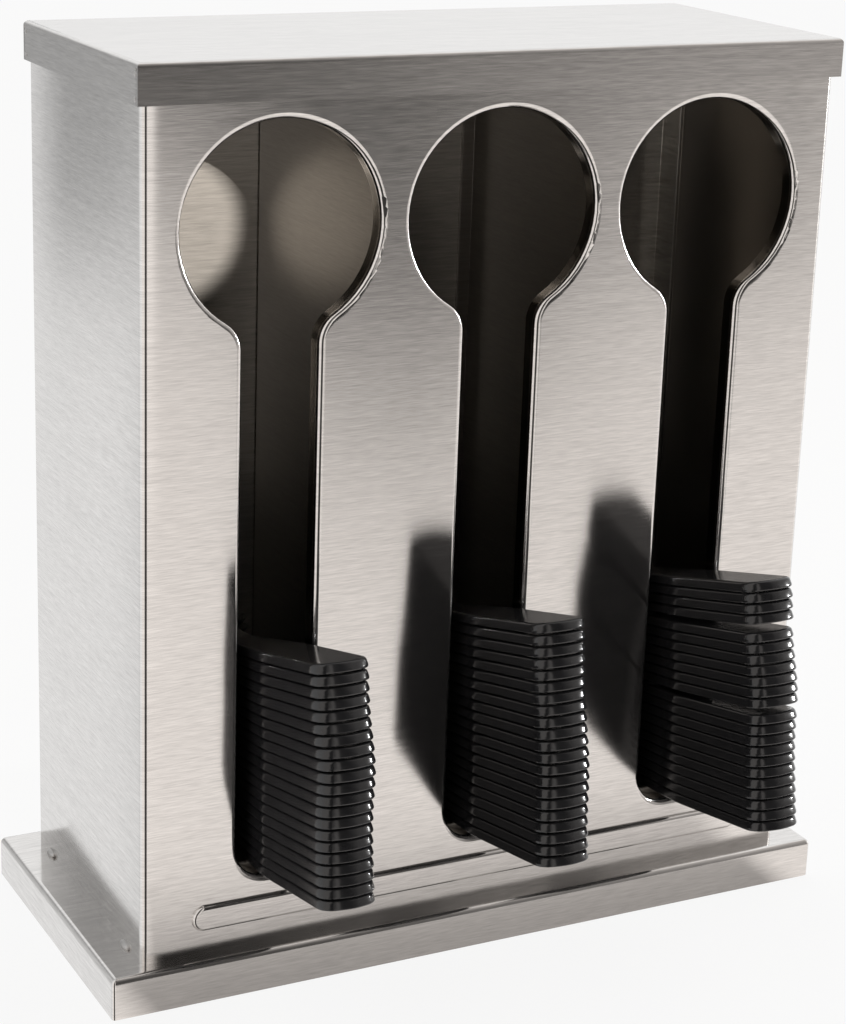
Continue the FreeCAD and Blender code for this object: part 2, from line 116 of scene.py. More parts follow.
def apply_modifier(piece, kind, **settings):
    """Adds a modifier with its settings and applies it at once."""
    only(piece)
    modifier = piece.modifiers.new(kind.title(), kind)
    for name, value in settings.items():
        setattr(modifier, name, value)
    bpy.ops.object.modifier_apply(modifier=modifier.name)


def merged_copy(node, name):
    """A copy of a CAD node as one closed mesh: doubles merged and flat faces joined again."""
    piece = bpy.data.objects.new(name, NODES[node].data.copy())
    scene.collection.objects.link(piece)
    only(piece)
    bpy.ops.object.mode_set(mode="EDIT")
    bpy.ops.mesh.select_all(action="SELECT")
    bpy.ops.mesh.remove_doubles(threshold=MERGE)
    bpy.ops.mesh.dissolve_limited(angle_limit=math.radians(FLAT_DEG))
    bpy.ops.object.mode_set(mode="OBJECT")
    return piece


print("helpers ready")

# %% [markdown]
# ## Wiring nodes in code
#
# A material is a tree of nodes, and a long tree is hard to read when every node takes five lines. These
# helpers make one node in one line and give back its output, so that the next node can take it. A value that
# is an output gets a link, and a plain number or colour is written into the socket.

# %% Node helpers
# The Mix node's first input, second input and output, for each type of data
MIX_SOCKETS = {"FLOAT": (2, 3, 0), "RGBA": (6, 7, 2)}


def feed(tree, value, socket):
    """Links an output to a socket, or writes a plain value into it."""
    if isinstance(value, bpy.types.NodeSocket):
        tree.links.new(value, socket)
    else:
        socket.default_value = value


def put(tree, kind, **settings):
    """A node with its settings. Names that are sockets are linked or filled, and others are properties."""
    node = tree.nodes.new("ShaderNode" + kind)
    for name, value in settings.items():
        if hasattr(node, name) and name not in node.inputs:
            setattr(node, name, value)
    for name, value in settings.items():
        if name in node.inputs:
            feed(tree, value, node.inputs[name])
    return node


def maths(tree, operation, a, b=0.0):
    """The result of one Math node."""
    node = put(tree, "Math", operation=operation)
    feed(tree, a, node.inputs[0])
    feed(tree, b, node.inputs[1])
    return node.outputs[0]


def squared(tree, value):
    """A value times itself."""
    return maths(tree, "MULTIPLY", value, value)


def vector_maths(tree, operation, a, b):
    """The result of one Vector Math node, as a vector."""
    node = put(tree, "VectorMath", operation=operation)
    feed(tree, a, node.inputs[0])
    feed(tree, b, node.inputs[1])
    return node.outputs[0]


def mix(tree, data_type, factor, a, b):
    """a where the factor is 0 and b where it is 1. The Mix node has a pair of sockets for each type."""
    first, second, result = MIX_SOCKETS[data_type]
    node = put(tree, "Mix", data_type=data_type)
    feed(tree, factor, node.inputs["Factor"])
    feed(tree, a, node.inputs[first])
    feed(tree, b, node.inputs[second])
    return node.outputs[result]


def mix_shader(tree, factor, a, b):
    """Shader a where the factor is 0 and shader b where it is 1."""
    node = put(tree, "MixShader", Fac=factor)
    feed(tree, a, node.inputs[1])
    feed(tree, b, node.inputs[2])
    return node.outputs[0]


def object_place(tree):
    """The point on the piece in its own coordinates, split into X, Y and Z."""
    return put(tree, "SeparateXYZ", Vector=put(tree, "TexCoord").outputs["Object"]).outputs


print("node helpers ready")

# %% [markdown]
# ## The grain, as a node group
#
# Satin steel is sanded with a belt, which leaves thousands of short parallel scratches. They scatter light
# across the grain and leave it sharp along the grain. A photograph of such a sheet would do, but it repeats
# and needs an image. The group draws the scratches as noise stretched along the sheet instead: on upright
# sheets they run level, and on flat ones along the width. It gives a colour, a roughness and a height, and
# each material picks its own values.

# %% The grain's noise
# Scale along the grain, scale across it, and detail
FINE_GRAIN = (150.0, 2600.0, 1.0)
COARSE_GRAIN = (38.0, 850.0, 2.0)
GRAIN_ROUGHNESS = 0.6
LEVEL_FACE = 0.7


def stretched_noise(tree, coordinates, along, across, detail):
    """Noise drawn out along the sheet: two versions, for upright and for level faces, chosen by normal."""
    values = []
    for scale in ((along, along, across), (along, across, along)):
        place = put(tree, "Mapping", Vector=coordinates, Scale=scale).outputs[0]
        noise = put(tree, "TexNoise", Vector=place, Scale=1.0, Detail=detail, Roughness=GRAIN_ROUGHNESS)
        values.append(noise.outputs["Fac"])
    normal = put(tree, "NewGeometry").outputs["Normal"]
    upward = put(tree, "SeparateXYZ", Vector=normal).outputs["Z"]
    flat = maths(tree, "GREATER_THAN", maths(tree, "ABSOLUTE", upward), LEVEL_FACE)
    return mix(tree, "FLOAT", flat, values[0], values[1])


print("grain", FINE_GRAIN, COARSE_GRAIN)

# %% The grain group
FINE_SHARE = 0.6
COARSE_SHARE = 0.4
CLOUD_SCALE = 14.0
CLOUD_DETAIL = 2.0


def new_group(name, inputs, outputs):
    """An empty shader node group with named sockets. inputs: name to default. outputs: name to kind."""
    group = bpy.data.node_groups.new(name, "ShaderNodeTree")
    for label, value in inputs.items():
        kind = "NodeSocketColor" if isinstance(value, tuple) else "NodeSocketFloat"
        socket = group.interface.new_socket(label, in_out="INPUT", socket_type=kind)
        socket.default_value = value
    for label, kind in outputs.items():
        group.interface.new_socket(label, in_out="OUTPUT", socket_type=kind)
    entry = group.nodes.new("NodeGroupInput")
    leave = group.nodes.new("NodeGroupOutput")
    return group, entry, leave


def grain_group():
    """The group that every steel uses: streaks and clouds in the colour, the roughness and the height."""
    group, entry, leave = new_group(
        "Belt grain",
        {
            "Colour": (0.6, 0.59, 0.58, 1.0),
            "Streak Strength": 0.1,
            "Roughness": 0.3,
            "Roughness Spread": 0.1,
            "Cloud Strength": 0.05,
        },
        {"Colour": "NodeSocketColor", "Roughness": "NodeSocketFloat", "Height": "NodeSocketFloat"},
    )
    given = entry.outputs
    coordinates = put(group, "TexCoord").outputs["Object"]
    fine = maths(group, "MULTIPLY", stretched_noise(group, coordinates, *FINE_GRAIN), FINE_SHARE)
    coarse = maths(group, "MULTIPLY", stretched_noise(group, coordinates, *COARSE_GRAIN), COARSE_SHARE)
    cloud = put(group, "TexNoise", Vector=coordinates, Scale=CLOUD_SCALE, Detail=CLOUD_DETAIL).outputs["Fac"]
    streak = maths(group, "ADD", fine, coarse)
    signed = maths(group, "SUBTRACT", streak, 0.5)
    shade = maths(group, "MULTIPLY", signed, given["Streak Strength"])
    haze = maths(group, "MULTIPLY", maths(group, "SUBTRACT", cloud, 0.5), given["Cloud Strength"])
    light = maths(group, "ADD", maths(group, "ADD", shade, haze), 1.0)
    tint = put(group, "CombineXYZ", X=light, Y=light, Z=light).outputs[0]
    spread = maths(group, "MULTIPLY", signed, given["Roughness Spread"])
    feed(group, vector_maths(group, "MULTIPLY", given["Colour"], tint), leave.inputs["Colour"])
    feed(group, maths(group, "ADD", given["Roughness"], spread), leave.inputs["Roughness"])
    feed(group, streak, leave.inputs["Height"])
    return group


GRAIN = grain_group()
print("group", GRAIN.name, [item.name for item in GRAIN.interface.items_tree])

# %% [markdown]
# ## The housing's sheet out of true
#
# A thin sheet never comes out of the press quite flat: it bows between its bends, and rolls in near them.
# The bow is a millimetre or two over the whole width. That is hard to see as a shape, but the reflections
# slide a long way on it. Moving the mesh would take the housing away from the frame, so the bow is a height
# in the material, worked out from the place on the sheet. A lean is a slope, a crown is one over a radius
# in metres, and the roll and the left bend are factors on the square of a distance.

# %% Bow, and painted shade on inner faces
FRONT_LEAN = 0.015
FRONT_CROWN = 0.3125
SIDE_CROWN = 1.0
ROLL_WIDTH = 11 * MM
ROLL_CURVE = 3.6
LEFT_BEND_FROM = 62 * MM
LEFT_BEND = 1.2
HALF_SHEET = 0.5 * MM
RIB_PROUD = 1.5 * MM
COLLAR_DEPTH = 2.5 * MM


def past(tree, value, start):
    """How far a value is past a start, and nought before it."""
    return maths(tree, "MAXIMUM", maths(tree, "SUBTRACT", value, start), 0.0)


def sheet_bow(tree):
    """How far the housing's sheet stands out of true, in metres: a lean and a crown on the front, a crown on
    each side, and a roll near the front's bends, with a softer one further in on the left."""
    place = object_place(tree)
    x = place["X"]
    low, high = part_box("body_shell")
    lean = maths(tree, "MULTIPLY", x, FRONT_LEAN)
    crown = maths(tree, "MULTIPLY", squared(tree, x), FRONT_CROWN / 2)
    near_bend = past(tree, maths(tree, "ABSOLUTE", x), high[0] - ROLL_WIDTH)
    roll = maths(tree, "MULTIPLY", squared(tree, near_bend), ROLL_CURVE)
    to_left = past(tree, maths(tree, "MULTIPLY", x, -1.0), LEFT_BEND_FROM)
    left_roll = maths(tree, "MULTIPLY", squared(tree, to_left), LEFT_BEND)
    from_middle = maths(tree, "SUBTRACT", place["Y"], (low[1] + high[1]) / 2)
    side = maths(tree, "MULTIPLY", squared(tree, from_middle), SIDE_CROWN / 2)
    drop = maths(tree, "ADD", maths(tree, "ADD", crown, side), maths(tree, "ADD", roll, left_roll))
    return maths(tree, "SUBTRACT", lean, drop)


def inner_shade_mask(tree):
    """One on the faces of the housing's sheet that look inwards, and nought outside: where the sheet gets its
    painted shade.
    """
    place = object_place(tree)
    low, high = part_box("body_shell")
    past_front = maths(tree, "GREATER_THAN", place["Y"], low[1] + RIB_PROUD + COLLAR_DEPTH)
    past_side = maths(tree, "LESS_THAN", maths(tree, "ABSOLUTE", place["X"]), high[0] - HALF_SHEET)
    return maths(tree, "MULTIPLY", past_front, past_side)


# %% [markdown]
# ## Steel finishes
#
# Five steels share the grain. The tray and the lid are freshly sanded, and the housing is the same sheet with
# its bow, and with painted shade on the faces that look inwards. The dividers and floors are rougher, and
# their steel is made much darker as painted shade inside the compartments. The back panel is a dull and cloudy
# one that catches the light through the mouths, and weld metal is the roughest. The scatter across the grain
# could be drawn as thousands of real scratches. The shader's own anisotropy costs less and doesn't flicker,
# but it needs to know which way the grain runs at each point. That is the level direction in the sheet: the
# cross product of a nearly upright vector with the normal.

# %% A steel
OUTSIDE_STEEL = (0.735, 0.72, 0.705, 1.0)
INSIDE_STEEL = (0.80, 0.77, 0.72, 1.0)
# A much darker copy of the steel: painted shade for the housing's inner faces, the dividers and the floors.
PAINTED_SHADE_STEEL = (0.30, 0.28, 0.255, 1.0)
WELD_STEEL = (0.50, 0.49, 0.48, 1.0)
NEARLY_UP = (0.0, 0.04, 1.0)
QUARTER_TURN = 0.25


def steel(name, colour, roughness, streak, spread, cloud, depth, scatter, bow_and_inner_shade=False, metal=1.0):
    """A metal with belt grain. depth is how deep the grain is, and scatter the shader's anisotropy. The bowed
    steel also gets the sheet's bow as a height, and painted shade on the faces that look inwards.
    """
    material = bpy.data.materials.new(name)
    material.use_nodes = True
    tree = material.node_tree
    shader = tree.nodes["Principled BSDF"]
    grain = put(tree, "Group", node_tree=GRAIN)
    values = {
        "Colour": colour,
        "Streak Strength": streak,
        "Roughness": roughness,
        "Roughness Spread": spread,
        "Cloud Strength": cloud,
    }
    for label, value in values.items():
        grain.inputs[label].default_value = value
    finish = grain.outputs["Colour"]
    height = maths(tree, "MULTIPLY", grain.outputs["Height"], depth)
    if bow_and_inner_shade:
        # Faces that look inwards take the darker steel as painted shade, and the sheet gets its bow as a
        # height.
        finish = mix(tree, "RGBA", inner_shade_mask(tree), finish, PAINTED_SHADE_STEEL)
        height = maths(tree, "ADD", height, sheet_bow(tree))
    relief = put(tree, "Bump", Strength=1.0, Distance=1.0, Height=height)
    normal = put(tree, "NewGeometry").outputs["Normal"]
    shader.inputs["Metallic"].default_value = metal
    shader.inputs["Anisotropic"].default_value = scatter
    shader.inputs["Anisotropic Rotation"].default_value = QUARTER_TURN
    feed(tree, finish, shader.inputs["Base Color"])
    feed(tree, grain.outputs["Roughness"], shader.inputs["Roughness"])
    feed(tree, relief.outputs[0], shader.inputs["Normal"])
    feed(tree, vector_maths(tree, "CROSS_PRODUCT", NEARLY_UP, normal), shader.inputs["Tangent"])
    return material


print("steel is made from", GRAIN.name)

# %% The five steels
SATIN = {"colour": OUTSIDE_STEEL, "roughness": 0.14, "spread": 0.05, "cloud": 0.06, "depth": 0.006 * MM}
STEEL = steel("satin steel", streak=0.65, scatter=0.9, **SATIN)
STEEL_BOWED_SHADED = steel("satin steel, bowed", streak=0.75, scatter=0.9, bow_and_inner_shade=True, **SATIN)
# Dividers and floors: the steel made rougher and much darker, the darkness being painted shade inside the
# compartments.
STEEL_PAINTED_SHADE = steel(
    "steel darkened as painted shade",
    colour=PAINTED_SHADE_STEEL,
    roughness=0.34,
    streak=0.6,
    spread=0.08,
    cloud=0.1,
    depth=0.008 * MM,
    scatter=0.5,
)
STEEL_DULL = steel(
    "dull back panel steel",
    colour=INSIDE_STEEL,
    roughness=0.2,
    streak=0.9,
    spread=0.08,
    cloud=0.4,
    depth=0.008 * MM,
    scatter=0.8,
    metal=0.92,
)
WELD = steel(
    "ground weld",
    colour=WELD_STEEL,
    roughness=0.42,
    streak=0.3,
    spread=0.2,
    cloud=0.3,
    depth=0.02 * MM,
    scatter=0.0,
)
print("steels", STEEL.name, STEEL_BOWED_SHADED.name, STEEL_PAINTED_SHADE.name, STEEL_DULL.name, WELD.name)

# %% [markdown]
# ## Black plastic
#
# The cutlery is moulded polystyrene: black all through, glossy where the mould was polished, and very
# slightly uneven, which bends its highlights. One flat black with one roughness would look like paint, so a
# broad noise moves the tone, the gloss and the height a little, and a fine one adds pores to the height.

# %% Plastic material
PLASTIC_BLACK = (0.013, 0.013, 0.014, 1.0)
PLASTIC_PALER = (0.0208, 0.0208, 0.0224, 1.0)
PLASTIC_IOR = 1.55
GLOSS = (0.12, 0.20)
FLOW_SCALE = 160.0
FLOW_DETAIL = 3.0
PORE_SCALE = 2400.0
PORE_DETAIL = 1.0
PORE_SHARE = 0.15
RELIEF_STRENGTH = 0.05
RELIEF_DEPTH = 0.1 * MM


def moulded_plastic():
    """Black polystyrene with a slightly uneven skin."""
    material = bpy.data.materials.new("black polystyrene")
    material.use_nodes = True
    tree = material.node_tree
    shader = tree.nodes["Principled BSDF"]
    coordinates = put(tree, "TexCoord").outputs["Object"]
    flow = put(tree, "TexNoise", Vector=coordinates, Scale=FLOW_SCALE, Detail=FLOW_DETAIL).outputs["Fac"]
    pores = put(tree, "TexNoise", Vector=coordinates, Scale=PORE_SCALE, Detail=PORE_DETAIL).outputs["Fac"]
    gloss = put(tree, "MapRange", **{"Value": flow, "To Min": GLOSS[0], "To Max": GLOSS[1]})
    height = maths(tree, "ADD", flow, maths(tree, "MULTIPLY", pores, PORE_SHARE))
    relief = put(tree, "Bump", Strength=RELIEF_STRENGTH, Distance=RELIEF_DEPTH, Height=height)
    feed(tree, mix(tree, "RGBA", flow, PLASTIC_BLACK, PLASTIC_PALER), shader.inputs["Base Color"])
    feed(tree, gloss.outputs[0], shader.inputs["Roughness"])
    feed(tree, relief.outputs[0], shader.inputs["Normal"])
    shader.inputs["IOR"].default_value = PLASTIC_IOR
    return material


PLASTIC = moulded_plastic()
print("plastic", PLASTIC.name)

# %% [markdown]
# ## Sheet metal with eased edges
#
# No real sheet ends in a knife edge: shearing and deburring round it by a few tenths of a millimetre, and
# that round is what draws the bright lines along a hem. A Bevel node could fake it in the material, but then
# the mesh would keep its sharp edge. Each sheet part is a merged copy of its CAD node with a narrow bevel on
# every sharp edge, so its form and its place stay exactly the frame's.

# %% Eased sheet parts
SHEET_EASE = 0.22 * MM
SHEET_SEGMENTS = 2
CREASE = math.radians(30)
FACE_WEIGHT = 50
# Node of the frame: name of the piece, material slot, finish
SHEETS = {
    "base_tray": ("tray", "steel", STEEL),
    # The housing's steel carries painted shade on its inner faces.
    "body_shell": ("front_and_sides", "steel", STEEL_BOWED_SHADED),
    "lid": ("lid_cap", "steel", STEEL),
    "back_panel": ("back_sheet", "steel_inner", STEEL_DULL),
    # The dividers and floors take the darkened steel: painted shade.
    "divider_left": ("left_divider_sheet", "steel_inner", STEEL_PAINTED_SHADE),
    "divider_right": ("right_divider_sheet", "steel_inner", STEEL_PAINTED_SHADE),
    "floor_left": ("left_floor_sheet", "steel_inner", STEEL_PAINTED_SHADE),
    "floor_centre": ("centre_floor_sheet", "steel_inner", STEEL_PAINTED_SHADE),
    "floor_right": ("right_floor_sheet", "steel_inner", STEEL_PAINTED_SHADE),
}


def finish_piece(piece, material):
    """Smooth shading with true creases, and one material."""
    only(piece)
    bpy.ops.object.shade_smooth_by_angle(angle=CREASE)
    apply_modifier(piece, "WEIGHTED_NORMAL", mode="FACE_AREA_WITH_ANGLE", weight=FACE_WEIGHT, keep_sharp=True)
    piece.data.materials.clear()
    piece.data.materials.append(material)


def eased(node, name, material):
    """A merged copy of a CAD node with its sharp edges rounded, riding where the node rides."""
    piece = merged_copy(node, name)
    apply_modifier(
        piece,
        "BEVEL",
        width=SHEET_EASE,
        segments=SHEET_SEGMENTS,
        limit_method="ANGLE",
        angle_limit=CREASE,
        use_clamp_overlap=True,
    )
    finish_piece(piece, material)
    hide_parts(node)
    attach(piece, BODY_OF[node])
    return piece


for node, (name, slot, material) in SHEETS.items():
    piece = eased(node, name, material)
    print(name, len(piece.data.polygons), "faces")

# %% [markdown]
# ## Weld beads
#
# A tack weld is a small puddle that froze in the corner: a smooth lump, higher in the middle and never
# quite even. It could be sculpted by hand, but a script can't repeat a hand's strokes. Each bead starts as
# a ball, is drawn out along the joint, and is then pushed about a little by a few waves from a fixed random
# seed, so every run gives the same beads. Four of them hold the housing to the tray.

# %% Beads
BALL_SEGMENTS = 20
BALL_RINGS = 12
WAVES = 4
WAVE_TURNS = 3.0
WAVE_PHASE = 6
WAVE_HEIGHT = 0.07
TACK_HALF = (1.5 * MM, 3.2 * MM, 1.4 * MM)
TACK_LIFT = 0.4 * MM


def bead(name, centre, size, seed):
    """A lumpy ball of the given half sizes at a centre."""
    bpy.ops.object.select_all(action="DESELECT")
    bpy.ops.mesh.primitive_uv_sphere_add(
        segments=BALL_SEGMENTS,
        ring_count=BALL_RINGS,
        radius=1.0,
        location=(0, 0, 0),
    )
    piece = bpy.context.object
    piece.name = name
    lumps = random.Random(seed)
    bpy.ops.object.mode_set(mode="EDIT")
    bpy.ops.mesh.select_all(action="SELECT")
    bpy.ops.transform.resize(value=size)
    bpy.ops.object.mode_set(mode="OBJECT")
    waves = []
    for _ in range(WAVES):
        way = Vector([lumps.uniform(-1, 1) for _ in range(3)])
        waves.append((way, lumps.uniform(0, WAVE_PHASE)))
    for vertex in piece.data.vertices:
        unit = Vector([c / s for c, s in zip(vertex.co, size)])
        push = sum(math.sin(WAVE_TURNS * unit.dot(way) + phase) for way, phase in waves)
        vertex.co = vertex.co * (1 + WAVE_HEIGHT * push) + Vector(centre)
    return piece


def joined(pieces, name):
    """Several objects as one."""
    only(pieces[0])
    for piece in pieces[1:]:
        piece.select_set(True)
    bpy.ops.object.join()
    pieces[0].name = name
    return pieces[0]


low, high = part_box("tack_welds")
tacks = []
for x in (low[0] + TACK_HALF[0], high[0] - TACK_HALF[0]):
    for y in (low[1] + TACK_HALF[1], high[1] - TACK_HALF[1]):
        tacks.append(bead("tack", (x, y, low[2] + TACK_LIFT), TACK_HALF, len(tacks)))
tack_beads = joined(tacks, "tack_beads")
finish_piece(tack_beads, WELD)
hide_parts("tack_welds")
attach(tack_beads, BODY_OF["tack_welds"])
print("beads", len(tacks))

# %% [markdown]
# ## Spots on the lid's corners
#
# The lid is folded from one sheet, and its open corner seams are closed by a small spot of weld at the top
# and at the bottom of each corner, ground almost flush. The same bead does, pressed nearly flat.

# %% Corner spots
SPOT_HALF = (0.25 * MM, 0.8 * MM, 0.8 * MM)
SPOT_SEED = 20
low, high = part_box("lid_corner_welds")
spots = []
for x in (low[0] + SPOT_HALF[0], high[0] - SPOT_HALF[0]):
    for y in (low[1] + SPOT_HALF[1], high[1] - SPOT_HALF[1]):
        for z in (low[2] + SPOT_HALF[2], high[2] - SPOT_HALF[2]):
            spots.append(bead("spot", (x, y, z), SPOT_HALF, SPOT_SEED + len(spots)))
corner_spots = joined(spots, "corner_spots")
finish_piece(corner_spots, WELD)
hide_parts("lid_corner_welds")
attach(corner_spots, BODY_OF["lid_corner_welds"])
print("spots", len(spots))

# %% [markdown]
# ## Where each piece of cutlery lies
#
# The three stacks hold 64 spoons, forks and knives, each at its own tilt. Placing them by hand would be slow
# and would drift from the frame, so each place is read from the frame instead. A node of a stack is taken
# apart into its separate solids, and each solid gives two things: its tip, which is its foremost point, and
# its tilt, from the faces on the upper side of its handle.

# %% Where each piece lies
HANDLE_LENGTH = 60 * MM
FACES_UP = 0.9
OPENINGS = {row["name"]: row["box_m"] for row in frame["record"]["physics"]["openings"]}


def islands(node):
    """The separate solids of a CAD node, each as a list of points and a list of (normal, area, centre)."""
    mesh = bmesh.new()
    mesh.from_mesh(NODES[node].data)
    bmesh.ops.remove_doubles(mesh, verts=mesh.verts, dist=MERGE)
    left = set(mesh.faces)
    found = []
    while left:
        grow = [left.pop()]
        solid = []
        while grow:
            face = grow.pop()
            solid.append(face)
            for edge in face.edges:
                for other in edge.link_faces:
                    if other in left:
                        left.remove(other)
                        grow.append(other)
        points = [v.co.copy() for face in solid for v in face.verts]
        facets = [(face.normal.copy(), face.calc_area(), face.calc_center_median()) for face in solid]
        found.append((points, facets))
    mesh.free()
    return found


def lay_of(points, facets, x):
    """How one piece lies: the matrix that takes a flat blank, tip at the origin, to this piece."""
    tip = min(points, key=lambda p: p.y)
    up = Vector()
    for normal, area, centre in facets:
        if normal.z > FACES_UP and centre.y < tip.y + HANDLE_LENGTH:
            up += normal * area
    tilt = math.atan2(up.y, up.z)
    return Matrix.Translation((x, tip.y, tip.z)) @ Matrix.Rotation(-tilt, 4, "X")


def hole_middle(side):
    """The x of the middle of one keyhole, from the record's own box for its mouth."""
    low, high = OPENINGS["mouth_" + side]
    return (low[0] + high[0]) / 2


HOLE_X = {"spoon": hole_middle("left"), "fork": hole_middle("centre"), "knife": hole_middle("right")}
print("keyholes at", HOLE_X)

# %% [markdown]
# ## Moulded cutlery
#
# All pieces of a stack come out of one mould, so one blank per kind is enough, and it could be drawn anew.
# But the frame's top piece of each stack already has the full form, with its hollow underside, so the blank
# is that piece laid flat with its tip at the origin. A mould leaves a full round on every outer edge and a
# small one in the hollow, and an edge weight tells the bevel which is which. The rest of the stack are
# copies of the blank, each laid where the frame has its piece.

# %% The blanks
MOULD_EASE = 0.85 * MM
MOULD_SEGMENTS = 3
MOULD_HEEL = 10 * MM
INNER_EASE = 0.3
SHARP = math.radians(50)


def weigh_edges(piece):
    """Marks every sharp edge for the bevel: a full round outside, and a smaller one in the hollow. Outwards is
    away from a line down the handle's middle that starts MOULD_HEEL behind the tip."""
    mesh = bmesh.new()
    mesh.from_mesh(piece.data)
    weight = mesh.edges.layers.float.new("bevel_weight_edge")
    for edge in mesh.edges:
        if len(edge.link_faces) != 2 or edge.calc_face_angle(0) < SHARP:
            continue
        wall = min(edge.link_faces, key=lambda face: abs(face.normal.z))
        middle = (edge.verts[0].co + edge.verts[1].co) / 2
        outward = Vector((middle.x, min(middle.y - MOULD_HEEL, 0.0), 0.0))
        edge[weight] = 1.0 if edge.is_convex and wall.normal.dot(outward) > 0 else INNER_EASE
    mesh.to_mesh(piece.data)
    mesh.free()


def blank(kind, x):
    """The top piece of a stack, laid flat with its tip at the origin, with rounded edges."""
    piece = merged_copy(kind + "_top", kind + "_blank")
    points, facets = islands(kind + "_top")[0]
    piece.data.transform(lay_of(points, facets, x).inverted())
    weigh_edges(piece)
    apply_modifier(
        piece,
        "BEVEL",
        width=MOULD_EASE,
        segments=MOULD_SEGMENTS,
        limit_method="WEIGHT",
        use_clamp_overlap=False,
    )
    finish_piece(piece, PLASTIC)
    return piece


print("mould rounding", MOULD_EASE / MM, "mm")

# %% The stacks


def lay_stack(kind, x):
    """Copies the blank to every piece of a stack and hands each group to the node that it stands for."""
    pattern = blank(kind, x)
    for part in ("top", "stack_upper", "stack_middle", "stack_lower"):
        node = kind + "_" + part
        copies = []
        for points, facets in islands(node):
            copy = bpy.data.objects.new("copy", pattern.data.copy())
            scene.collection.objects.link(copy)
            copy.data.transform(lay_of(points, facets, x))
            copies.append(copy)
        moulded = joined(copies, node.replace("stack", "pieces") if "stack" in node else node + "_piece")
        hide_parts(node)
        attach(moulded, BODY_OF[node])
        print(moulded.name, len(copies), "pieces", len(moulded.data.polygons), "faces")
    bpy.data.objects.remove(pattern)


for kind, x in HOLE_X.items():
    lay_stack(kind, x)

# %% [markdown]
# ## The room
#
# Satin steel shows the room more than itself. A room could be built of large lit boards, but a board near
# the object shows differently at every point of a bowed sheet and is hard to tune. So the room is drawn in
# the world, by direction alone: white walls, a dark flag from straight in front round to the right, the
# dark corner where the photographer stands, and a dimmer patch behind to the left. The flag has one thin
# pale gap, and ends ten to sixteen degrees under the horizon. A table gives the light at each compass
# angle from the front, above and below an edge, and the height of that edge. Colour ramps carry the table
# into the shader.

# %% The room's table
ROOM = (
    # compass angle, light above the edge, light below it, elevation of the edge
    (-180, 1.00, 1.00, -12.0),
    (-168, 0.84, 0.90, -12.0),
    (-163, 0.39, 0.90, -12.0),
    (-157, 0.41, 0.92, -12.0),
    (-148, 0.65, 0.70, -12.0),
    (-110, 0.95, 1.00, -12.0),
    (-55, 1.00, 1.00, -12.0),
    (-48, 0.06, 0.06, -12.0),
    (-26, 0.05, 0.04, -14.0),
    (-24.7, 0.05, 0.03, -14.5),
    (-24, 0.45, 0.03, -14.5),
    (-17, 0.45, 0.03, -14.5),
    (-14, 1.00, 1.00, -14.5),
    (-5, 1.00, 1.00, -10.5),
    (-4, 0.02, 1.00, -10.2),
    (4, 0.03, 1.00, -10.5),
    (12, 0.05, 1.00, -12.0),
    (17.4, 0.07, 1.00, -13.5),
    (21.4, 0.08, 1.00, -15.0),
    (25.4, 0.13, 1.00, -15.5),
    (28.4, 0.20, 1.00, -14.0),
    (28.9, 0.42, 1.00, -14.0),
    (29.4, 0.20, 1.00, -13.5),
    (33.4, 0.29, 1.00, -12.0),
    (38.4, 0.36, 1.00, -11.5),
    (60, 0.55, 1.00, -12.0),
    (95, 1.00, 1.00, -12.0),
    (180, 1.00, 1.00, -12.0),
)
COMPASS, ABOVE, BELOW, EDGE = zip(*ROOM)
print("room", len(ROOM), "angles")

# %% The room by direction
WARM = (1.0, 0.945, 0.905, 1.0)
WHITE = (1.0, 1.0, 1.0, 1.0)
EDGE_SOFT = 3.0
EDGE_SPAN = 90.0
WARM_SOFT = 0.2


def angle_ramp(tree, turn, values):
    """A ramp over the full turn, with one stop for each row of the room's table."""
    ramp = put(tree, "ValToRGB", Fac=turn)
    stops = ramp.color_ramp.elements
    stops.remove(stops[1])
    for index, (angle, value) in enumerate(zip(COMPASS, values)):
        place = 0.5 + angle / 360
        stop = stops[0] if index == 0 else stops.new(place)
        stop.position = place
        stop.color = (value, value, value, 1.0)
    return ramp.outputs["Color"]


def smooth_range(tree, value, from_min, from_max, to_min, to_max):
    """Takes a value from one range to another with soft ends."""
    limits = {"From Min": from_min, "From Max": from_max, "To Min": to_min, "To Max": to_max}
    return put(tree, "MapRange", interpolation_type="SMOOTHSTEP", Value=value, **limits).outputs[0]


def room(tree, way):
    """The room's colour in a direction: the light of the table, a little warm in front and neutral behind."""
    parts = put(tree, "SeparateXYZ", Vector=way).outputs
    x = parts["X"]
    to_front = maths(tree, "MULTIPLY", parts["Y"], -1.0)
    level = maths(tree, "SQRT", maths(tree, "ADD", squared(tree, x), squared(tree, to_front)))
    compass = maths(tree, "ARCTAN2", x, to_front)
    turn = maths(tree, "ADD", maths(tree, "DIVIDE", compass, 2 * math.pi), 0.5)
    height = maths(tree, "DEGREES", maths(tree, "ARCTAN2", parts["Z"], level))
    above = angle_ramp(tree, turn, ABOVE)
    below = angle_ramp(tree, turn, BELOW)
    edge_share = angle_ramp(tree, turn, [-elevation / EDGE_SPAN for elevation in EDGE])
    over_edge = maths(tree, "ADD", height, maths(tree, "MULTIPLY", edge_share, EDGE_SPAN))
    over = smooth_range(tree, over_edge, -EDGE_SOFT / 2, EDGE_SOFT / 2, 0.0, 1.0)
    light = mix(tree, "RGBA", over, below, above)
    warmth = smooth_range(tree, maths(tree, "DIVIDE", to_front, level), -WARM_SOFT, WARM_SOFT, 0.0, 1.0)
    tint = mix(tree, "RGBA", warmth, WHITE, WARM)
    return vector_maths(tree, "MULTIPLY", light, tint)


print("edge of the room's flag", min(EDGE), "to", max(EDGE), "degrees")

